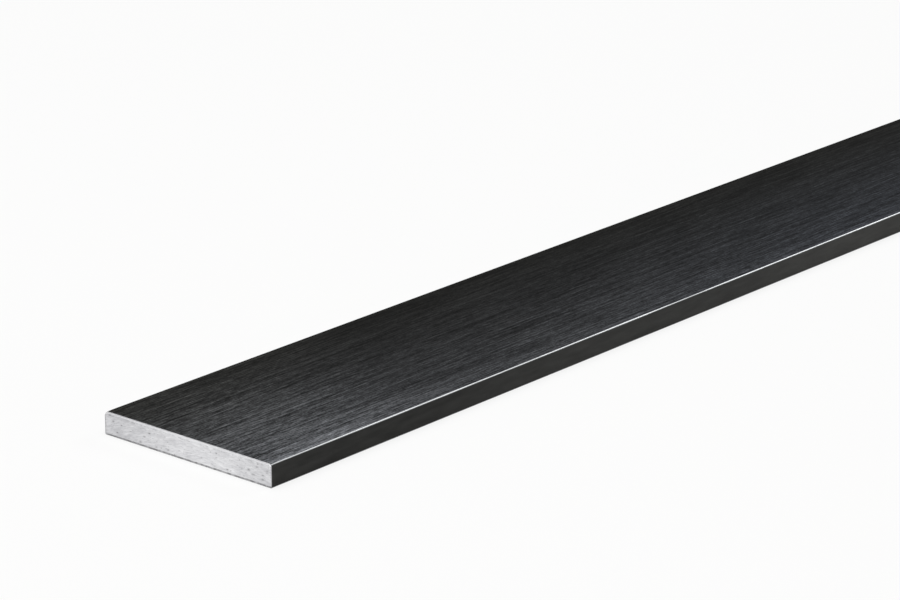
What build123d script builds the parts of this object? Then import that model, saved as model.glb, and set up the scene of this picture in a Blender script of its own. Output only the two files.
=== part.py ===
from build123d import *
import os

# Flat bar: one straight length of rolled steel flat, sawn square at both ends.
# Its length runs along X, its width along Y and its thickness along Z. The middle of its
# underside is the origin, so it lies on the plane Z = 0.

# Driving sizes in millimetres
bar_length = 1000.0          # a stock length, cut from the mill length
bar_width = 45.0             # standard width of the flat
bar_thickness = 5.0          # standard thickness of the flat
near_corner_radius = 0.5     # the upper long corner at -Y, as the rolls left it
far_corner_radius = 0.9      # the upper long corner at +Y, the roundest of the four
lower_corner_radius = 0.3    # the two long corners below, which are sharper
burr_break = 0.2             # the file's bevel round each sawn end
largest_round_share = 0.45   # a corner takes at most this share of the thinner side
largest_bevel_share = 0.8    # the bevel takes at most this share of a corner's radius


def rolled_section(width, thickness, near_radius, far_radius, lower_radius):
    """The cross-section as it leaves the rolls: four flat sides, rounder above than below."""
    section = Rectangle(width, thickness)
    section = fillet(section.vertices().group_by(Axis.Y)[0], lower_radius)
    section = fillet(section.vertices().group_by(Axis.Y)[-1].sort_by(Axis.X)[0], near_radius)
    return fillet(section.vertices().group_by(Axis.Y)[-1].sort_by(Axis.X)[-1], far_radius)


def sawn_length(section, length):
    """The section run out to the cut length, centred along the bar."""
    across_the_bar = Plane.YZ.offset(-length / 2)
    return extrude(across_the_bar * section, amount=length)


def break_sawn_edges(bar, bevel):
    """A light bevel round the outline of both sawn ends, where the burr was filed off."""
    sawn_ends = [bar.faces().sort_by(Axis.X)[0], bar.faces().sort_by(Axis.X)[-1]]
    end_outlines = [edge for end in sawn_ends for edge in end.edges()]
    return chamfer(end_outlines, bevel)


largest_radius = largest_round_share * min(bar_width, bar_thickness)
corner_radii = [min(radius, largest_radius)
                for radius in (near_corner_radius, far_corner_radius, lower_corner_radius)]
bevel = min(burr_break, largest_bevel_share * min(corner_radii))
section = rolled_section(bar_width, bar_thickness, *corner_radii)
flat_bar = break_sawn_edges(sawn_length(section, bar_length), bevel)
flat_bar = Pos(0, 0, bar_thickness / 2) * flat_bar

os.makedirs("parts", exist_ok=True)
export_step(flat_bar, "parts/flat_bar.step")
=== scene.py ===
import bpy
from math import cos, exp, hypot, pi, radians, sin
from mathutils import Matrix, Vector, noise
from mathutils.geometry import delaunay_2d_cdt
from random import Random


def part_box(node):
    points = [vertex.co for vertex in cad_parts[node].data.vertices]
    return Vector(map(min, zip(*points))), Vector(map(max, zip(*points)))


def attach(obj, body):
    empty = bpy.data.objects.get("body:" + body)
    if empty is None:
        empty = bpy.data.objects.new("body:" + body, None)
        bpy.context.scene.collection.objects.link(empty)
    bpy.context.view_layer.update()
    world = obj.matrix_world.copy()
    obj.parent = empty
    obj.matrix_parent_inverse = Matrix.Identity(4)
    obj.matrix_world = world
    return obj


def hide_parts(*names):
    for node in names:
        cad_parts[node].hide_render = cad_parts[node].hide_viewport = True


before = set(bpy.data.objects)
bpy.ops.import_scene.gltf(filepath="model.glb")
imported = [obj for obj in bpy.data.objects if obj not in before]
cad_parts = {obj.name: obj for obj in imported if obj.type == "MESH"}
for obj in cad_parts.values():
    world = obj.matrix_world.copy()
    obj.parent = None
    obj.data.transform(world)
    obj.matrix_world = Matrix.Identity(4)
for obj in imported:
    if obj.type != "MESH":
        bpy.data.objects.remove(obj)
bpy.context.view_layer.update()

# The rolled length
# A straight length of hot-rolled mild steel flat, which lies loose on its wide face. The rolls
# leave shallow lengthwise streaks and four rounded long corners, which differ a little.

# Sizes are in millimetres, and the mesh is brought to metres when the bar is put together.
mm = 0.001
low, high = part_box("flat_bar")
bar_length = (high.x - low.x) / mm
bar_width = (high.y - low.y) / mm
bar_thickness = (high.z - low.z) / mm
near_corner_radius = 0.5
far_corner_radius = 0.9
lower_corner_radius = 0.3
corner_steps = 6
face_step = 1.0
side_step = 0.5
lengthwise_step = 1.8
end_zone = 30.0
end_zone_step = 0.75
burr_break = 0.14
corner_filing = 0.14
filing_reach = 0.8
roll_streaks = [
    {"length": 28.0, "width": 1.7, "depth": 0.0092},
    {"length": 12.0, "width": 0.75, "depth": 0.0048},
]


def corner_radius(y, z):
    """The radius of the long corner that is nearest to a spot of the section."""
    if z < bar_thickness / 2:
        return lower_corner_radius
    return far_corner_radius if y > 0 else near_corner_radius


def corner_arc(number):
    """Points round one long corner, each as y, z and the outward direction there."""
    y_side, z_side = ((1, -1), (1, 1), (-1, 1), (-1, -1))[number]
    radius = corner_radius(y_side, bar_thickness * (z_side > 0))
    centre_y = y_side * (bar_width / 2 - radius)
    centre_z = bar_thickness / 2 + z_side * (bar_thickness / 2 - radius)
    arc = []
    for step in range(corner_steps + 1):
        angle = radians(90 * (number - 1 + step / corner_steps))
        out_y, out_z = cos(angle), sin(angle)
        arc.append((centre_y + radius * out_y, centre_z + radius * out_z, out_y, out_z))
    return arc


def section_outline():
    """Points once round the section: four corner arcs and the flats between them."""
    arcs = [corner_arc(number) for number in range(4)]
    outline = []
    for number, arc in enumerate(arcs):
        outline += arc
        start_y, start_z, out_y, out_z = arc[-1]
        end_y, end_z, _, _ = arcs[(number + 1) % 4][0]
        flat_step = face_step if number % 2 else side_step
        steps = round(hypot(end_y - start_y, end_z - start_z) / flat_step)
        for step in range(1, steps):
            share = step / steps
            outline.append((start_y + share * (end_y - start_y), start_z + share * (end_z - start_z),
                            out_y, out_z))
    return outline


def lengthwise_stations():
    """Places along the bar where the section is repeated, closer together beside both sawn ends."""
    first = burr_break - bar_length / 2
    beside_end = [first + step * end_zone_step for step in range(round(end_zone / end_zone_step))]
    middle_start = beside_end[-1] + end_zone_step
    middle_steps = round(-2 * middle_start / lengthwise_step)
    middle = [middle_start * (1 - 2 * step / middle_steps) for step in range(middle_steps + 1)]
    return beside_end + middle + [-x for x in reversed(beside_end)]


def roll_relief(x, y, z):
    """How far the rolled surface lies below the true section."""
    depth = 0.0
    for streaks in roll_streaks:
        place = Vector((x / streaks["length"], y / streaks["width"], z / streaks["width"]))
        depth += streaks["depth"] * (1 + noise.noise(place)) / 2
    return depth


def filed_off(x, z, out_y, out_z):
    """How much a file took off the two upper corners beside a cut."""
    if z < bar_thickness / 2:
        return 0.0
    from_cut = bar_length / 2 - abs(x)
    return corner_filing * 2 * abs(out_y * out_z) * exp(-from_cut / filing_reach)


outline = section_outline()
stations = lengthwise_stations()
around = len(outline)
points = []
faces = []
for x in stations:
    for y, z, out_y, out_z in outline:
        depth = roll_relief(x, y, z) + filed_off(x, z, out_y, out_z)
        points.append((x, y - out_y * depth, z - out_z * depth))
for row in range(len(stations) - 1):
    for column in range(around):
        beside = (column + 1) % around
        faces.append((row * around + column, row * around + beside,
                      (row + 1) * around + beside, (row + 1) * around + column))
rolled_face_count = len(faces)


def linear_colour(hex_code):
    """An sRGB hex value as the linear red, green, blue and alpha that a shader takes."""
    parts = [int(hex_code[digit:digit + 2], 16) / 255 for digit in (1, 3, 5)]
    light = [part / 12.92 if part <= 0.04045 else ((part + 0.055) / 1.055) ** 2.4 for part in parts]
    return light + [1.0]


def add_node(owner, kind, settings=None, links=None):
    """A new node: settings fill its options and sockets, links join its sockets to other nodes."""
    tree = owner.node_tree
    node = tree.nodes.new(kind)

    def socket(name):
        if isinstance(name, int):
            return node.inputs[name]
        return next(each for each in node.inputs if each.enabled and each.name == name)

    for name, value in (settings or {}).items():
        if isinstance(name, str) and hasattr(node, name):
            setattr(node, name, value)
        else:
            socket(name).default_value = value
    for name, source in (links or {}).items():
        if isinstance(source, bpy.types.Node):
            source = next(each for each in source.outputs if each.enabled)
        tree.links.new(source, socket(name))
    return node


def bare_finish(name):
    """A new material with no nodes yet."""
    finish = bpy.data.materials.new(name)
    finish.use_nodes = True
    finish.node_tree.nodes.clear()
    return finish


def place_on_bar(finish):
    """Where a point lies on the bar, in millimetres."""
    coordinates = add_node(finish, "ShaderNodeTexCoord")
    return add_node(finish, "ShaderNodeVectorMath", {"operation": "DIVIDE", 1: (mm, mm, mm)},
                    {0: coordinates.outputs["Object"]})


# Mill scale is the blue-black iron oxide that grows on steel between the hot rolls. It is thin,
# dry and matte, so the bar reads as soft black with hardly any gloss, in lengthwise streaks where
# the rolls drew it out. It is painted lighter and greyer by one long edge and by the cuts, which
# is painted sheen, and the narrow sides are a lighter grey, partly painted reflection of the
# white floor.
# The streaks are up to 14 mm long and 0.4 mm wide. The real grain between them is under 0.1 mm,
# too fine to show, and is drawn 0.3 mm wide.
scale_black = "#161615"
# The blue-grey and the grey are the scale with painted sheen, by the near edge and by the cuts.
near_sheen_blue = "#2d2f33"
near_sheen_grey = "#333436"
# The narrow sides' grey is partly the scale's own colour and partly painted reflection of the white floor.
side_scale_and_reflection = "#3e3e3d"
blue_onset = 1.3
grey_reach = (200.0, 90.0)
# The cut gains and fade, and the band by the near edge, paint sheen beside the cuts and by the near edge.
cut_gain_far = 0.4
cut_gain_near = 0.52
cut_fade = (68.0, 12.0)
cut_fade_slant = 0.3
plain_contrast = 0.87
near_sheen_band = 6.0
near_sheen_gain = 0.13
face_patterns = {
    "long_streaks": {"length": 14.0, "width": 0.4, "detail": 1.0, "gain": 1.5},
    "short_streaks": {"length": 2.4, "width": 0.36, "detail": 1.0, "gain": 1.36},
    "grain": {"length": 0.4, "width": 0.3, "detail": 0.0, "gain": 0.7},
    "patches": {"length": 60.0, "width": 6.0, "detail": 2.0, "gain": 0.25},
}
side_patterns = {
    "side_mottle": {"length": 9.0, "width": 1.4, "detail": 2.0, "gain": 0.3},
    "side_patches": {"length": 110.0, "width": 30.0, "detail": 0.0, "gain": 0.75, "start": 3.0},
}
# A band along the middle of each of the four long corners is bare steel, partly wear where racks
# and other bars rub the scale off and partly a painted highlight of the rounded corner. It shows
# as a bright line, wandering a little and a third of a millimetre wide.
bare_steel_highlight = "#b2b4b6"
wear_highlight_band = 0.32
wear_highlight_wander = {"length": 18.0, "width": 18.0, "detail": 2.0, "gain": 0.22}
wear_highlight_roughness = 0.38
scale_roughness = (0.5, 0.7)
scale_bump = 0.5
bump_depth = 0.01
scale_gloss = 0.01
# The eye sees even steps of grey, so a tone is a factor as the screen shows it, and is raised to
# this power to become a factor of light.
screen_gamma = 2.2

mill_scale = bare_finish("mill_scale")
scale_place = place_on_bar(mill_scale)
scale_axes = add_node(mill_scale, "ShaderNodeSeparateXYZ", {}, {"Vector": scale_place})
scale_noises = {}
for name, pattern in {**face_patterns, **side_patterns, "wander": wear_highlight_wander}.items():
    per_mm = (1 / pattern["length"], 1 / pattern["width"], 1 / pattern["width"])
    shift = (pattern.get("start", 0.0), 0, 0)
    stretched = add_node(mill_scale, "ShaderNodeVectorMath",
                         {"operation": "MULTIPLY_ADD", 1: per_mm, 2: shift}, {0: scale_place})
    scale_noises[name] = add_node(mill_scale, "ShaderNodeTexNoise",
                                  {"Scale": 1.0, "Detail": pattern["detail"]}, {"Vector": stretched})


def swing(name, gain):
    """A pattern's swing to both sides of its middle, times a gain."""
    return add_node(mill_scale, "ShaderNodeMath", {"operation": "MULTIPLY_ADD", 1: gain, 2: -gain / 2},
                    {0: scale_noises[name]})


def tone_of(patterns):
    """A tone of about one, which the patterns' swings raise and lower."""
    total = None
    for name, pattern in patterns.items():
        links = {0: swing(name, pattern["gain"])}
        if total is not None:
            links[1] = total
        total = add_node(mill_scale, "ShaderNodeMath", {"operation": "ADD", 1: 1.0}, links)
    return total


# Across the face the scale goes from black to a lighter blue-grey towards the near edge, a painted sheen,
# which is less blue by the cuts.
nearness = add_node(mill_scale, "ShaderNodeMapRange",
                    {"From Min": bar_width / 2, "From Max": -bar_width / 2},
                    {"Value": scale_axes.outputs["Y"]})
near_sheen_share = add_node(mill_scale, "ShaderNodeMath", {"operation": "POWER", 1: blue_onset}, {0: nearness})
from_middle = add_node(mill_scale, "ShaderNodeMath", {"operation": "ABSOLUTE"}, {0: scale_axes.outputs["X"]})
grey_share = add_node(mill_scale, "ShaderNodeMapRange",
                      {"From Min": bar_length / 2 - grey_reach[0],
                       "From Max": bar_length / 2 - grey_reach[1]}, {"Value": from_middle})
near_sheen_colour = add_node(mill_scale, "ShaderNodeMix",
                       {"data_type": "RGBA", "A": linear_colour(near_sheen_blue), "B": linear_colour(near_sheen_grey)},
                       {"Factor": grey_share})
face_colour = add_node(mill_scale, "ShaderNodeMix", {"data_type": "RGBA", "A": linear_colour(scale_black)},
                       {"Factor": near_sheen_share, "B": near_sheen_colour})

# Its tone rises in a band of painted sheen by the near edge and in painted sheen beside the cuts, and swings
# in the streaks.
near_edge_sheen = add_node(mill_scale, "ShaderNodeMapRange",
                  {"From Min": near_sheen_band - bar_width / 2, "From Max": -bar_width / 2,
                   "To Min": 1.0, "To Max": 1.0 + near_sheen_gain}, {"Value": scale_axes.outputs["Y"]})
slanted = add_node(mill_scale, "ShaderNodeMath", {"operation": "MULTIPLY_ADD", 1: cut_fade_slant},
                   {0: scale_axes.outputs["Y"], 2: from_middle})
near_cut = add_node(mill_scale, "ShaderNodeMapRange",
                    {"interpolation_type": "SMOOTHSTEP", "From Min": bar_length / 2 - cut_fade[0],
                     "From Max": bar_length / 2 - cut_fade[1]}, {"Value": slanted})
cut_gain = add_node(mill_scale, "ShaderNodeMapRange", {"To Min": cut_gain_far, "To Max": cut_gain_near},
                    {"Value": nearness})
cut_tone = add_node(mill_scale, "ShaderNodeMath", {"operation": "MULTIPLY_ADD", 2: 1.0},
                    {0: near_cut, 1: cut_gain})
even_tone = add_node(mill_scale, "ShaderNodeMath", {"operation": "MULTIPLY"}, {0: near_edge_sheen, 1: cut_tone})
streaks = tone_of(face_patterns)
streak_swing = add_node(mill_scale, "ShaderNodeMath", {"operation": "SUBTRACT", 1: 1.0}, {0: streaks})
contrast = add_node(mill_scale, "ShaderNodeMapRange", {"To Min": plain_contrast, "To Max": 1.0},
                    {"Value": near_cut})
streak_tone = add_node(mill_scale, "ShaderNodeMath", {"operation": "MULTIPLY_ADD", 2: 1.0},
                       {0: streak_swing, 1: contrast})
face_tone = add_node(mill_scale, "ShaderNodeMath", {"operation": "MULTIPLY"}, {0: even_tone, 1: streak_tone})

# How far a point lies past the middle of its rounded long corner: below 0 it is on a wide face,
# above 0 on a narrow side.
off_mid_width = add_node(mill_scale, "ShaderNodeMath", {"operation": "ABSOLUTE"},
                         {0: scale_axes.outputs["Y"]})
above_middle = add_node(mill_scale, "ShaderNodeMath", {"operation": "SUBTRACT", 1: bar_thickness / 2},
                        {0: scale_axes.outputs["Z"]})
off_mid_height = add_node(mill_scale, "ShaderNodeMath", {"operation": "ABSOLUTE"}, {0: above_middle})
width_less_height = add_node(mill_scale, "ShaderNodeMath", {"operation": "SUBTRACT"},
                             {0: off_mid_width, 1: off_mid_height})
past_corner = add_node(mill_scale, "ShaderNodeMath",
                       {"operation": "SUBTRACT", 1: (bar_width - bar_thickness) / 2}, {0: width_less_height})
side_share = add_node(mill_scale, "ShaderNodeMapRange",
                      {"interpolation_type": "SMOOTHSTEP", "From Max": lower_corner_radius},
                      {"Value": past_corner})
# The narrow sides take a lighter grey, partly painted reflection of the white floor.
even_colour = add_node(mill_scale, "ShaderNodeMix", {"data_type": "RGBA", "B": linear_colour(side_scale_and_reflection)},
                       {"Factor": side_share, "A": face_colour})
tone = add_node(mill_scale, "ShaderNodeMix", {"data_type": "FLOAT"},
                {"Factor": side_share, "A": face_tone, "B": tone_of(side_patterns)})
tone_of_light = add_node(mill_scale, "ShaderNodeMath", {"operation": "POWER", 1: screen_gamma}, {0: tone})
scale_colour = add_node(mill_scale, "ShaderNodeVectorMath", {"operation": "SCALE"},
                        {"Vector": even_colour, "Scale": tone_of_light})

off_corner = add_node(mill_scale, "ShaderNodeMath", {"operation": "ABSOLUTE"}, {0: past_corner})
off_wear_highlight_line = add_node(mill_scale, "ShaderNodeMath", {"operation": "ADD"},
                         {0: off_corner, 1: swing("wander", wear_highlight_wander["gain"])})
# The bare-steel band along each long corner is partly wear and partly a painted highlight.
wear_and_highlight = add_node(mill_scale, "ShaderNodeMapRange",
                {"interpolation_type": "SMOOTHSTEP", "From Min": wear_highlight_band, "From Max": 0.0},
                {"Value": off_wear_highlight_line})
wear_highlight_colour = add_node(mill_scale, "ShaderNodeMix", {"data_type": "RGBA", "B": linear_colour(bare_steel_highlight)},
                       {"Factor": wear_and_highlight, "A": scale_colour})
streaked_roughness = add_node(mill_scale, "ShaderNodeMapRange",
                              {"To Min": scale_roughness[0], "To Max": scale_roughness[1]},
                              {"Value": scale_noises["short_streaks"]})
roughness = add_node(mill_scale, "ShaderNodeMix", {"data_type": "FLOAT", "B": wear_highlight_roughness},
                     {"Factor": wear_and_highlight, "A": streaked_roughness})
bump_strength = add_node(mill_scale, "ShaderNodeMapRange", {"To Min": scale_bump, "To Max": 0.0},
                         {"Value": wear_and_highlight})
bump = add_node(mill_scale, "ShaderNodeBump", {"Distance": bump_depth * mm},
                {"Strength": bump_strength, "Height": streaks})
scale_shader = add_node(mill_scale, "ShaderNodeBsdfPrincipled", {"Specular IOR Level": scale_gloss},
                        {"Base Color": wear_highlight_colour, "Metallic": wear_and_highlight, "Roughness": roughness,
                         "Normal": bump})
add_node(mill_scale, "ShaderNodeOutputMaterial", {}, {"Surface": scale_shader})

# The sawn ends
# Both ends were cut square with a circular saw, and the burr was then broken with a file, most at
# the upper corners. The teeth leave faint arcs about the blade's centre, and torn metal leaves a
# few small dark pits.

blade_centre = (-20.0, -148.0)
tooth_marks = {"pitch": 0.55, "length": 8.0, "depth": 0.021}
swirls = {"length": 2.9, "height": 2.0, "depth": 0.009}
relief_slice = 0.5
burr_wander = {"length": 1.7, "share": 0.22}
end_grid_step = 0.2
rim_clearance = 0.08
same_spot = 1e-6
# Blender's own number for a flat net of triangles that stays inside its outline.
inside_outline = 1
pit_depth = 0.06
pit_flatness = 2.2
pit_margin = 0.8
pit_radii = (0.2, 0.38)
pit_seed = 21
# The pits that show, each as a place across and up the sawn face and one of three radii.
shown_end_pits = ((22.2, 2.1, 0.22), (21.0, 4.4, 0.3), (20.1, 3.3, 0.3), (19.1, 1.2, 0.3),
                  (17.8, 3.0, 0.22), (12.6, 0.9, 0.38), (11.5, 2.2, 0.3), (10.1, 3.2, 0.3),
                  (5.0, 1.0, 0.3), (-4.0, 1.7, 0.22), (-8.0, 3.6, 0.22), (-10.9, 1.0, 0.22),
                  (-16.5, 2.4, 0.38), (-17.7, 1.7, 0.38), (-18.7, 3.5, 0.38), (-20.2, 1.3, 0.3),
                  (-20.2, 2.2, 0.3), (-21.4, 3.3, 0.22))


def depth_inside(y, z):
    """How far a spot of the sawn face lies inside the section's outline."""
    radius = corner_radius(y, z)
    past_y = abs(y) - (bar_width / 2 - radius)
    past_z = abs(z - bar_thickness / 2) - (bar_thickness / 2 - radius)
    return radius - hypot(max(past_y, 0), max(past_z, 0)) - min(max(past_y, past_z), 0)


def file_cut(side):
    """The rim of the sawn face once the burr is filed off, as y and z round the end."""
    rim = []
    for y, z, out_y, out_z in outline:
        place = Vector((y / burr_wander["length"], z / burr_wander["length"], side / 2))
        inset = burr_break * (1 - burr_wander["share"] * (1 - noise.noise(place)))
        inset += filed_off(bar_length / 2, z, out_y, out_z)
        rim.append((y - out_y * inset, z - out_z * inset))
    return rim


def saw_relief(y, z, pits):
    """Depth of the tooth marks and pits below the cut, and how much of it is pit."""
    ring = hypot(y - blade_centre[0], z - blade_centre[1]) / tooth_marks["pitch"]
    mark = (1 + noise.noise(Vector((ring, y / tooth_marks["length"], relief_slice)))) / 2
    swirl = (1 + noise.noise(Vector((y / swirls["length"], z / swirls["height"], relief_slice)))) / 2
    pit = max(exp(-((y - pit_y) ** 2 + (pit_flatness * (z - pit_z)) ** 2) / radius ** 2)
              for pit_y, pit_z, radius in pits)
    return tooth_marks["depth"] * mark + swirls["depth"] * swirl + pit_depth * pit, pit


def close_end(side, ring_start, pits):
    """Adds the filed bevel and the sawn face at one end, with each new point's pit and rim values."""
    plane_x = side * bar_length / 2
    inner = []
    for row in range(1, round(bar_thickness / end_grid_step)):
        for step in range(1, round(bar_width / end_grid_step)):
            y = step * end_grid_step - bar_width / 2
            z = row * end_grid_step
            if depth_inside(y, z) > burr_break + corner_filing + rim_clearance:
                inner.append((y, z))
    flat = [Vector(spot) for spot in file_cut(side) + inner]
    rim_loop = list(range(around))
    flat_points, _, triangles, _, _, _ = delaunay_2d_cdt(flat, [], [rim_loop], inside_outline, same_spot)
    first = len(points)
    for number, spot in enumerate(flat_points):
        depth, pit = saw_relief(spot.x, spot.y, pits) if number >= around else (0.0, 0.0)
        points.append((plane_x - side * depth, spot.x, spot.y))
        pit_shares.append(pit)
        rim_distances.append(depth_inside(spot.x, spot.y))
    end_faces = [tuple(first + corner for corner in triangle) for triangle in triangles]
    for column in range(around):
        beside = (column + 1) % around
        end_faces.append((ring_start + column, ring_start + beside, first + beside, first + column))
    faces.extend(face if side > 0 else face[::-1] for face in end_faces)


draw = Random(pit_seed)
pit_reach = bar_width / 2 - pit_margin
hidden_end_pits = [(draw.uniform(-pit_reach, pit_reach),
                    draw.uniform(pit_margin, bar_thickness - pit_margin),
                    draw.uniform(*pit_radii)) for _ in shown_end_pits]
pit_shares = [0.0] * len(points)
rim_distances = [0.0] * len(points)
close_end(-1, 0, shown_end_pits)
close_end(1, (len(stations) - 1) * around, hidden_end_pits)

# Sawn mild steel is bare, pale and finely scored, a satin metal with short strokes along the
# tooth marks, duller smears between them and dark torn specks. A bright line inside the upper
# rim is partly bright filing and partly painted highlight, and a broken dark line below it is
# painted shadow of the burr. The rim all round is painted darker as shade on the filed bevel,
# the lower edge darker still as painted shadow where it meets the floor, and the far edge a
# little. Real strokes are about 0.1 mm wide, too fine to show, and are drawn twice as wide.
sawn_light = "#efeff1"
sawn_dull = "#c5c5c8"
filed_highlight_bright = "#eaeaec"
torn_and_shade_dark = "#7b7b7d"
floor_shade_grey = "#626263"
filed_highlight_line = {"inside": 0.26, "half_width": 0.14}
filed_highlight_share = (0.45, 1.15)
burr_shadow_line = {"inside": 0.66, "half_width": 0.2}
burr_shadow_share = 0.5
upper_rim = (3.4, 4.6)
shaded_rim_width = 0.2
shaded_rim_strength = 0.65
floor_shade_height = (0.52, 0.36)
floor_shade_share = (0.4, 0.82)
far_rim_shade = {"start": 0.42, "full": 0.24, "share": 0.38}
end_patterns = {
    "strokes": {"length": 1.6, "width": 0.2, "detail": 2.0, "gain": 1.5},
    "smears": {"length": 4.0, "width": 1.2, "detail": 3.0, "gain": 1.1},
    "torn_flecks": {"length": 0.6, "width": 0.2, "detail": 0.0},
    "rim_nicks": {"length": 1.0, "width": 0.4, "detail": 1.0},
}
arc_wobble = 0.6
burr_shadow_gaps = (0.5, 0.62)
fleck_rarity = (0.66, 0.84)
nick_swing = (0.35, 0.6)
pit_raggedness = {"swing": (0.3, 0.55), "share": (0.35, 1.1)}
torn_share = 0.5
middle_dull = 0.4
short_end_dull = 0.42
brightest_place = -4.0
brightest_reach = 4.5
sawn_roughness = (0.32, 0.5)
stroke_bump = 0.4

sawn_steel = bare_finish("sawn_steel")
sawn_place = place_on_bar(sawn_steel)
sawn_axes = add_node(sawn_steel, "ShaderNodeSeparateXYZ", {}, {"Vector": sawn_place})
on_the_cut = add_node(sawn_steel, "ShaderNodeVectorMath", {"operation": "MULTIPLY", 1: (0, 1, 1)},
                      {0: sawn_place})
from_blade = add_node(sawn_steel, "ShaderNodeVectorMath", {"operation": "DISTANCE", 1: (0, *blade_centre)},
                      {0: on_the_cut})
along_arcs = add_node(sawn_steel, "ShaderNodeCombineXYZ", {},
                      {"X": from_blade.outputs["Value"], "Y": sawn_axes.outputs["Y"],
                       "Z": sawn_axes.outputs["X"]})
end_noises = {}
for name, pattern in end_patterns.items():
    unit = (pattern["width"], pattern["length"], pattern["width"])
    stretched = add_node(sawn_steel, "ShaderNodeVectorMath", {"operation": "DIVIDE", 1: unit},
                         {0: along_arcs})
    end_noises[name] = add_node(sawn_steel, "ShaderNodeTexNoise",
                                {"Scale": 1.0, "Detail": pattern["detail"], "Distortion": arc_wobble},
                                {"Vector": stretched})

# The scored face is brightest a little to the near side of its middle, and duller to both sides.
from_brightest = add_node(sawn_steel, "ShaderNodeMath", {"operation": "SUBTRACT", 1: brightest_place},
                          {0: sawn_axes.outputs["Y"]})
off_brightest = add_node(sawn_steel, "ShaderNodeMath", {"operation": "ABSOLUTE"}, {0: from_brightest})
stroke_gain = end_patterns["strokes"]["gain"]
smear_gain = end_patterns["smears"]["gain"]
plain_dull = middle_dull - (stroke_gain + smear_gain) / 2
even_dull = add_node(sawn_steel, "ShaderNodeMapRange",
                     {"From Min": brightest_reach, "From Max": bar_width / 2,
                      "To Min": plain_dull, "To Max": plain_dull + short_end_dull},
                     {"Value": off_brightest})
smeared = add_node(sawn_steel, "ShaderNodeMath", {"operation": "MULTIPLY_ADD", 1: smear_gain},
                   {0: end_noises["smears"], 2: even_dull})
dull = add_node(sawn_steel, "ShaderNodeMath",
                {"operation": "MULTIPLY_ADD", "use_clamp": True, 1: stroke_gain},
                {0: end_noises["strokes"], 2: smeared})
scored_colour = add_node(sawn_steel, "ShaderNodeMix",
                         {"data_type": "RGBA", "A": linear_colour(sawn_light),
                          "B": linear_colour(sawn_dull)}, {"Factor": dull})

rim_distance = add_node(sawn_steel, "ShaderNodeAttribute", {"attribute_name": "rim_distance"})
high_share = add_node(sawn_steel, "ShaderNodeMapRange",
                      {"From Min": upper_rim[0], "From Max": upper_rim[1]},
                      {"Value": sawn_axes.outputs["Z"]})


def line_by_upper_rim(line, strength):
    """How strongly a line shows that runs inside the upper rim, where strength says how strong it is."""
    past_line = add_node(sawn_steel, "ShaderNodeMath", {"operation": "SUBTRACT", 1: line["inside"]},
                         {0: rim_distance.outputs["Fac"]})
    off_line = add_node(sawn_steel, "ShaderNodeMath", {"operation": "ABSOLUTE"}, {0: past_line})
    on_line = add_node(sawn_steel, "ShaderNodeMapRange",
                       {"interpolation_type": "SMOOTHSTEP", "From Min": line["half_width"], "From Max": 0.0},
                       {"Value": off_line})
    on_upper = add_node(sawn_steel, "ShaderNodeMath", {"operation": "MULTIPLY"}, {0: on_line, 1: high_share})
    return add_node(sawn_steel, "ShaderNodeMath", {"operation": "MULTIPLY"}, {0: on_upper, 1: strength})


# A broken dark line below the filed line is painted shadow of the burr; the same dark also marks real torn
# specks and pits.
burr_shadow_strength = add_node(sawn_steel, "ShaderNodeMapRange",
                         {"interpolation_type": "SMOOTHSTEP", "From Min": burr_shadow_gaps[0],
                          "From Max": burr_shadow_gaps[1], "To Max": burr_shadow_share},
                         {"Value": end_noises["rim_nicks"]})
flecks = add_node(sawn_steel, "ShaderNodeMapRange",
                  {"interpolation_type": "SMOOTHSTEP", "From Min": fleck_rarity[0],
                   "From Max": fleck_rarity[1], "To Max": torn_share},
                  {"Value": end_noises["torn_flecks"]})
pit_share = add_node(sawn_steel, "ShaderNodeAttribute", {"attribute_name": "pit"})
ragged_share = add_node(sawn_steel, "ShaderNodeMapRange",
                        {"From Min": pit_raggedness["swing"][0], "From Max": pit_raggedness["swing"][1],
                         "To Min": pit_raggedness["share"][0], "To Max": pit_raggedness["share"][1]},
                        {"Value": end_noises["rim_nicks"]})
ragged_pit = add_node(sawn_steel, "ShaderNodeMath", {"operation": "MULTIPLY"},
                      {0: pit_share.outputs["Fac"], 1: ragged_share})
torn = add_node(sawn_steel, "ShaderNodeMath", {"operation": "MAXIMUM"}, {0: flecks, 1: ragged_pit})
torn_or_burr_shadow = add_node(sawn_steel, "ShaderNodeMath", {"operation": "MAXIMUM"},
                          {0: torn, 1: line_by_upper_rim(burr_shadow_line, burr_shadow_strength)})
torn_and_shaded_colour = add_node(sawn_steel, "ShaderNodeMix", {"data_type": "RGBA", "B": linear_colour(torn_and_shade_dark)},
                       {"Factor": torn_or_burr_shadow, "A": scored_colour})
# A bright line inside the upper rim, partly bright filing and partly painted highlight.
filed_highlight_strength = add_node(sawn_steel, "ShaderNodeMapRange",
                          {"From Min": nick_swing[0], "From Max": nick_swing[1],
                           "To Min": filed_highlight_share[0], "To Max": filed_highlight_share[1]},
                          {"Value": end_noises["rim_nicks"]})
filed_highlight_colour = add_node(sawn_steel, "ShaderNodeMix", {"data_type": "RGBA", "B": linear_colour(filed_highlight_bright)},
                        {"Factor": line_by_upper_rim(filed_highlight_line, filed_highlight_strength), "A": torn_and_shaded_colour})
# The rim all round the sawn face is painted darker, as painted shade on the filed bevel.
shaded_rim_share = add_node(sawn_steel, "ShaderNodeMapRange",
                      {"interpolation_type": "SMOOTHSTEP", "From Min": shaded_rim_width, "From Max": 0.0,
                       "To Max": shaded_rim_strength}, {"Value": rim_distance.outputs["Fac"]})
shaded_rim_colour = add_node(sawn_steel, "ShaderNodeMix", {"data_type": "RGBA", "B": linear_colour(torn_and_shade_dark)},
                        {"Factor": shaded_rim_share, "A": filed_highlight_colour})
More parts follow.
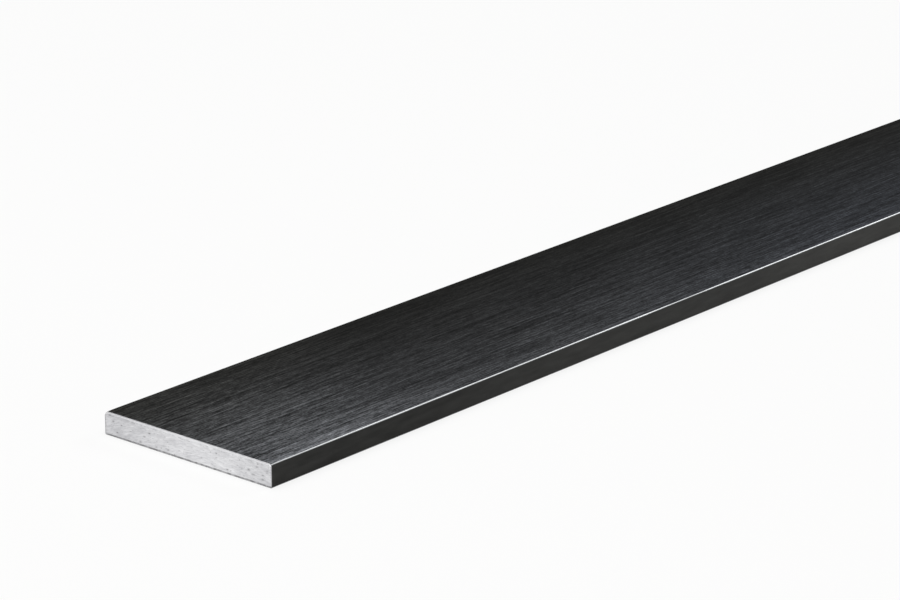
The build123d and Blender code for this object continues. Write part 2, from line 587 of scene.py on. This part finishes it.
# The lower edge is painted darker as the shadow where it meets the floor, and the far edge a little, as
# painted shade.
floor_shade_strength = add_node(sawn_steel, "ShaderNodeMapRange",
                          {"From Min": nick_swing[0], "From Max": nick_swing[1],
                           "To Min": floor_shade_share[0], "To Max": floor_shade_share[1]},
                          {"Value": end_noises["rim_nicks"]})
low_floor_shade = add_node(sawn_steel, "ShaderNodeMapRange",
                     {"interpolation_type": "SMOOTHSTEP", "From Min": floor_shade_height[0],
                      "From Max": floor_shade_height[1]},
                     {"Value": sawn_axes.outputs["Z"], "To Max": floor_shade_strength})
far_side_shade = add_node(sawn_steel, "ShaderNodeMapRange",
                      {"interpolation_type": "SMOOTHSTEP", "From Min": bar_width / 2 - far_rim_shade["start"],
                       "From Max": bar_width / 2 - far_rim_shade["full"], "To Max": far_rim_shade["share"]},
                      {"Value": sawn_axes.outputs["Y"]})
edge_shade = add_node(sawn_steel, "ShaderNodeMath", {"operation": "MAXIMUM"}, {0: low_floor_shade, 1: far_side_shade})
sawn_colour = add_node(sawn_steel, "ShaderNodeMix", {"data_type": "RGBA", "B": linear_colour(floor_shade_grey)},
                       {"Factor": edge_shade, "A": shaded_rim_colour})
smeared_roughness = add_node(sawn_steel, "ShaderNodeMapRange",
                             {"To Min": sawn_roughness[0], "To Max": sawn_roughness[1]},
                             {"Value": end_noises["smears"]})
stroke_relief = add_node(sawn_steel, "ShaderNodeBump",
                         {"Strength": stroke_bump, "Distance": bump_depth * mm},
                         {"Height": end_noises["strokes"]})
sawn_shader = add_node(sawn_steel, "ShaderNodeBsdfPrincipled", {"Metallic": 1.0},
                       {"Base Color": sawn_colour, "Roughness": smeared_roughness, "Normal": stroke_relief})
add_node(sawn_steel, "ShaderNodeOutputMaterial", {}, {"Surface": sawn_shader})

# The finished bar
# The rolled length and the two sawn ends are one closed skin of steel with two finishes, and
# nothing but its weight holds the bar to the floor.

# Faces that meet at more than this angle, in degrees, are shaded with a hard edge.
crease_angle = 28

# The skin is also laid out flat on a square sheet, the map named OFBake: the rolled skin in three
# strips, and the ends beside them at three times the scale, because their marks are finer.
strip_count = 3
sheet_gap = 2.0
end_enlargement = 3.0
strip_length = bar_length / strip_count
sheet_side = strip_length + lengthwise_step + 2 * sheet_gap

girth = [0.0]
for column in range(around):
    y, z, _, _ = outline[column]
    next_y, next_z, _, _ = outline[(column + 1) % around]
    girth.append(girth[-1] + hypot(next_y - y, next_z - z))


def rolled_place(row, column, strip):
    """Where a point of the rolled skin lies on the flat sheet."""
    along = stations[row] + bar_length / 2 - strip * strip_length
    return sheet_gap + along, sheet_gap + strip * (girth[-1] + sheet_gap) + girth[column]


def end_place(point):
    """Where a point of a sawn end lies on the flat sheet."""
    x, y, z = point
    beside = bar_width + sheet_gap if x > 0 else 0.0
    return (sheet_gap + end_enlargement * (beside + y + bar_width / 2),
            sheet_gap + strip_count * (girth[-1] + sheet_gap) + end_enlargement * z)


sheet_places = []
for row in range(len(stations) - 1):
    strip = min(int((stations[row] + bar_length / 2) / strip_length), strip_count - 1)
    for column in range(around):
        for next_row, next_column in ((0, 0), (0, 1), (1, 1), (1, 0)):
            sheet_places += rolled_place(row + next_row, column + next_column, strip)
for face in faces[rolled_face_count:]:
    for corner in face:
        sheet_places += end_place(points[corner])

bar_mesh = bpy.data.meshes.new("rolled_flat")
bar_mesh.from_pydata([Vector(point) * mm for point in points], [], faces)
finish_numbers = [int(number >= rolled_face_count) for number in range(len(faces))]
bar_mesh.polygons.foreach_set("material_index", finish_numbers)
bar_mesh.attributes.new("pit", "FLOAT", "POINT").data.foreach_set("value", pit_shares)
bar_mesh.attributes.new("rim_distance", "FLOAT", "POINT").data.foreach_set("value", rim_distances)
flat_sheet = bar_mesh.uv_layers.new(name="OFBake")
flat_sheet.data.foreach_set("uv", [length / sheet_side for length in sheet_places])
bar_mesh.shade_smooth()
bar_mesh.set_sharp_from_angle(angle=radians(crease_angle))
bar_mesh.materials.append(mill_scale)
bar_mesh.materials.append(sawn_steel)
rolled_flat = bpy.data.objects.new("rolled_flat", bar_mesh)
bpy.context.scene.collection.objects.link(rolled_flat)
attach(rolled_flat, "root")
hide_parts("flat_bar")

# The studio board
# A large flat sheet of matt white card, which the bar lies on. It is seen as plain white, and keeps
# a soft shadow of the bar.

board_size = 30.0
board_white = "#f4f4f3"
shown_white = 0.98
shown_share = 0.8


def background_rays(owner):
    """One for a ray that shows the background itself: from the camera, mirrored or through glass."""
    ray = add_node(owner, "ShaderNodeLightPath")
    seen = add_node(owner, "ShaderNodeMath", {"operation": "MAXIMUM"},
                    {0: ray.outputs["Is Camera Ray"], 1: ray.outputs["Is Glossy Ray"]})
    return add_node(owner, "ShaderNodeMath", {"operation": "MAXIMUM"},
                    {0: seen, 1: ray.outputs["Is Transmission Ray"]})


half = board_size / 2
board_mesh = bpy.data.meshes.new("studio_board")
board_mesh.from_pydata([(-half, -half, 0), (half, -half, 0), (half, half, 0), (-half, half, 0)], [],
                       [(0, 1, 2, 3)])
board_card = bare_finish("board_card")
lit_board = add_node(board_card, "ShaderNodeBsdfDiffuse", {"Color": linear_colour(board_white)})
white_board = add_node(board_card, "ShaderNodeEmission", {"Strength": shown_white})
white_share = add_node(board_card, "ShaderNodeMath", {"operation": "MULTIPLY", 1: shown_share},
                       {0: background_rays(board_card)})
board_shader = add_node(board_card, "ShaderNodeMixShader", {},
                        {0: white_share, 1: lit_board, 2: white_board})
add_node(board_card, "ShaderNodeOutputMaterial", {}, {"Surface": board_shader})
board_mesh.materials.append(board_card)
studio_board = bpy.data.objects.new("studio_board", board_mesh)
bpy.context.scene.collection.objects.link(studio_board)

# The studio light
# One wide softbox hangs over the bar, and two smaller ones stand to its right and left. The pale
# room adds little light of its own, so that the black faces stay black.

room_white = "#e7e7e6"
room_light = 0.17
room = bpy.data.worlds.new("room")
room.use_nodes = True
room.node_tree.nodes.clear()
dim_room = add_node(room, "ShaderNodeBackground",
                    {"Color": linear_colour(room_white), "Strength": room_light})
shown_room = add_node(room, "ShaderNodeBackground", {"Color": linear_colour(room_white)})
room_shader = add_node(room, "ShaderNodeMixShader", {},
                       {0: background_rays(room), 1: dim_room, 2: shown_room})
add_node(room, "ShaderNodeOutputWorld", {}, {"Surface": room_shader})
bpy.context.scene.world = room


def softbox(name, place, aim, width, depth, brightness):
    """A soft lamp, sized and placed in metres and facing aim. A white card is as bright as 1."""
    lamp = bpy.data.lights.new(name, "AREA")
    lamp.shape = "RECTANGLE"
    lamp.size = width
    lamp.size_y = depth
    lamp.energy = brightness * pi * width * depth
    holder = bpy.data.objects.new(name, lamp)
    holder.location = place
    holder.rotation_euler = (Vector(aim) - Vector(place)).to_track_quat("-Z", "Y").to_euler()
    bpy.context.scene.collection.objects.link(holder)


softbox("overhead_softbox", place=(-0.5, 0.2, 1.9), aim=(-0.4, 0.0, 0.0), width=1.9, depth=1.9,
        brightness=2.9)
softbox("right_softbox", place=(3.1, -1.0, 2.4), aim=(-0.4, 0.0, 0.0), width=1.3, depth=1.3,
        brightness=7.2)
softbox("left_softbox", place=(-1.9, -0.5, 0.8), aim=(-0.5, 0.0, 0.0), width=1.0, depth=0.7,
        brightness=4.4)

# The camera
# A long lens looks along the bar from above its sawn end, as in the photograph. It is placed by
# the pixel at which the near upper corner of that end shows.

look_down = radians(18.65)
bar_turn = radians(40.59)
lens_length = 147.8
sensor_width = 36.0
corner_distance = 699.6 * mm
picture_width = 900
picture_height = 600
corner_pixel = (271.1, 464.4)

pixels_per_unit = lens_length / sensor_width * picture_width
look = Vector((cos(look_down) * cos(bar_turn), cos(look_down) * sin(bar_turn), -sin(look_down)))
right = Vector((sin(bar_turn), -cos(bar_turn), 0))
up = right.cross(look)
near_corner = Vector((low.x, low.y, high.z))
to_corner = (look + right * (corner_pixel[0] - picture_width / 2) / pixels_per_unit
             - up * (corner_pixel[1] - picture_height / 2) / pixels_per_unit)
camera_data = bpy.data.cameras.new("camera")
camera_data.lens = lens_length
camera_data.sensor_width = sensor_width
camera = bpy.data.objects.new("camera", camera_data)
camera.matrix_world = (Matrix.Translation(near_corner - to_corner * corner_distance)
                       @ Matrix((right, up, -look)).transposed().to_4x4())
bpy.context.scene.collection.objects.link(camera)
bpy.context.scene.camera = camera

bpy.context.scene.view_settings.view_transform = "Standard"
